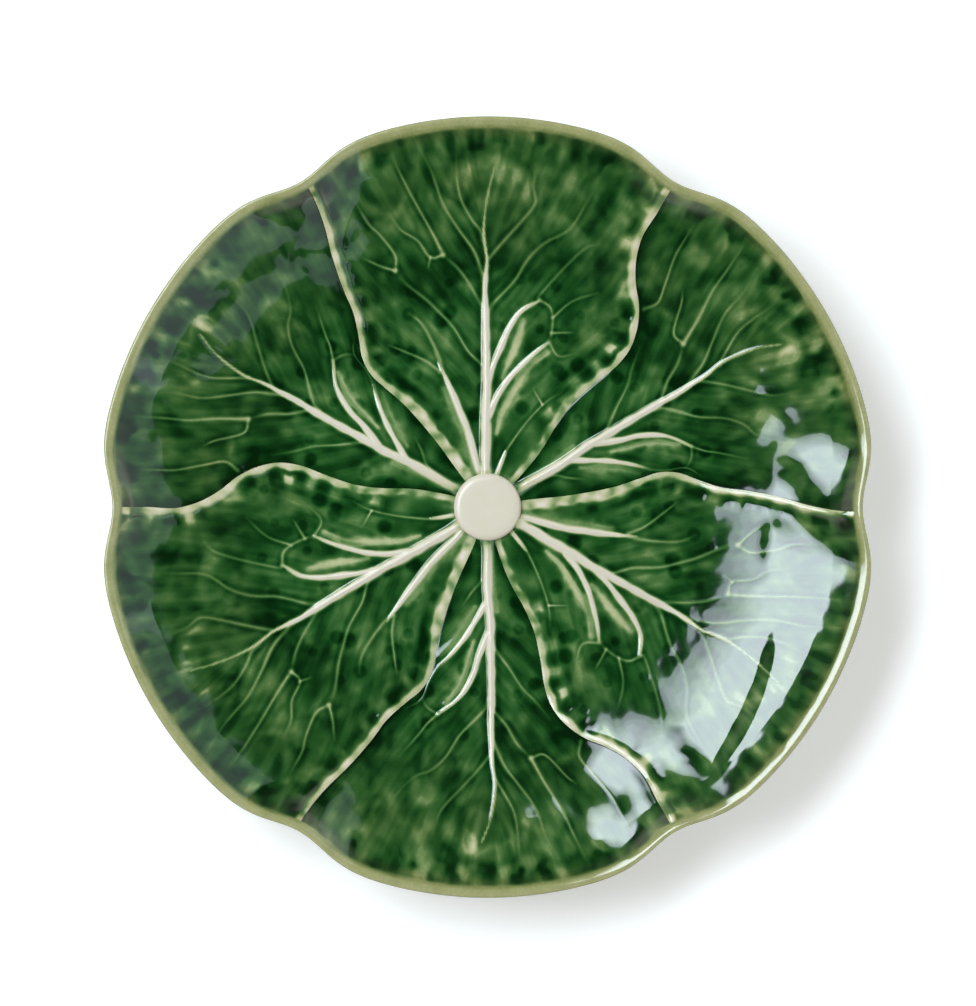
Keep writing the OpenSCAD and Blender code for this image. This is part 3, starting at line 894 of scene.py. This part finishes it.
links.new(seen.outputs[0], seen_too.inputs[0])
links.new(path.outputs["Is Transmission Ray"], seen_too.inputs[1])
lift = nodes.new("ShaderNodeMath")
lift.operation = "MULTIPLY"
lift.inputs[1].default_value = FLOOR_LIFT
links.new(seen_too.outputs[0], lift.inputs[0])
links.new(lift.outputs[0], shader.inputs["Emission Strength"])
floor.data.materials.append(paper)

# The room: bright low down, dark overhead, so that the dish reflects little but the lamps.
ROOM_LOW = (1.31, 1.2, 1.08, 1)
ROOM_HIGH = (0.03, 0.035, 0.035, 1)
world = bpy.data.worlds.new("room")
bpy.context.scene.world = world
world.use_nodes = True
nodes, links = world.node_tree.nodes, world.node_tree.links
background = nodes["Background"]
where = nodes.new("ShaderNodeTexCoord")
split = nodes.new("ShaderNodeSeparateXYZ")
links.new(where.outputs["Generated"], split.inputs[0])
ramp = nodes.new("ShaderNodeValToRGB")
ramp.color_ramp.interpolation = "EASE"
ramp.color_ramp.elements[0].position = 0.45
ramp.color_ramp.elements[0].color = ROOM_LOW
ramp.color_ramp.elements[1].position = 0.68
ramp.color_ramp.elements[1].color = ROOM_HIGH
links.new(split.outputs["Z"], ramp.inputs["Fac"])
path = nodes.new("ShaderNodeLightPath")
mix = nodes.new("ShaderNodeMix")
mix.data_type = "RGBA"
links.new(path.outputs["Is Camera Ray"], mix.inputs[0])
links.new(ramp.outputs["Color"], mix.inputs[6])
mix.inputs[7].default_value = (1, 1, 1, 1)
links.new(mix.outputs[2], background.inputs["Color"])


def lamp(name, azimuth, zenith, distance, width, height, radiance, colour):
    """A rectangular lamp that faces the plate, at a plain brightness."""
    a, z = math.radians(azimuth), math.radians(zenith)
    place = (distance * math.sin(z) * math.cos(a), distance * math.sin(z) * math.sin(a),
             distance * math.cos(z))
    bpy.ops.object.light_add(type="AREA", location=place, rotation=(0, z, a))
    light = bpy.context.object
    light.name = name
    light.data.shape = "RECTANGLE"
    light.data.size = height
    light.data.size_y = width
    light.data.energy = radiance * math.pi * width * height
    light.data.color = colour


# The window is one lamp with four smaller and fainter ones in front of it, all with nearly the same
# lower edge, so it fades towards its upper edge as one with a thin blind does. Pale cards stand on
# the far side.
WINDOW_AZIMUTH = 151
WINDOW_ZENITH = 29.6
WINDOW_W = 0.8
WINDOW_H = 0.4
CARD_COLOUR = (0.74, 0.87, 0.93)
lamp("window", WINDOW_AZIMUTH, WINDOW_ZENITH, 1.0, WINDOW_W, WINDOW_H, 5.1, (0.8, 0.9, 1.0))
for number in range(1, 5):
    lamp(f"window_{number}", WINDOW_AZIMUTH - 0.7 * number, WINDOW_ZENITH + 0.8 * number,
         1.0 - 0.004 * number, WINDOW_W - 0.045 * number, WINDOW_H - 0.03 * number, 1.75,
         (0.84, 0.93, 1.0))
lamp("small_card", -42, 30, 1.0, 0.26, 0.1, 0.85, CARD_COLOUR)
for number, (azimuth, radiance) in enumerate(((-42, 1.05), (-2, 0.85), (38, 0.8)), 1):
    lamp(f"card_{number}", azimuth, 49, 1.0, 0.53, 0.49, radiance, CARD_COLOUR)

# The camera looks straight down. Its frame is 212 mm high at the level of the rim.
CAMERA_Z = 1.32
FRAME_H = 0.212
bpy.ops.object.camera_add(location=(0.0001, 0.00085, CAMERA_Z), rotation=(0, 0, 0))
camera = bpy.context.object
camera.data.lens = camera.data.sensor_width * (CAMERA_Z - RIM_Z * MM) / FRAME_H
bpy.context.scene.camera = camera
bpy.context.scene.view_settings.view_transform = "Standard"
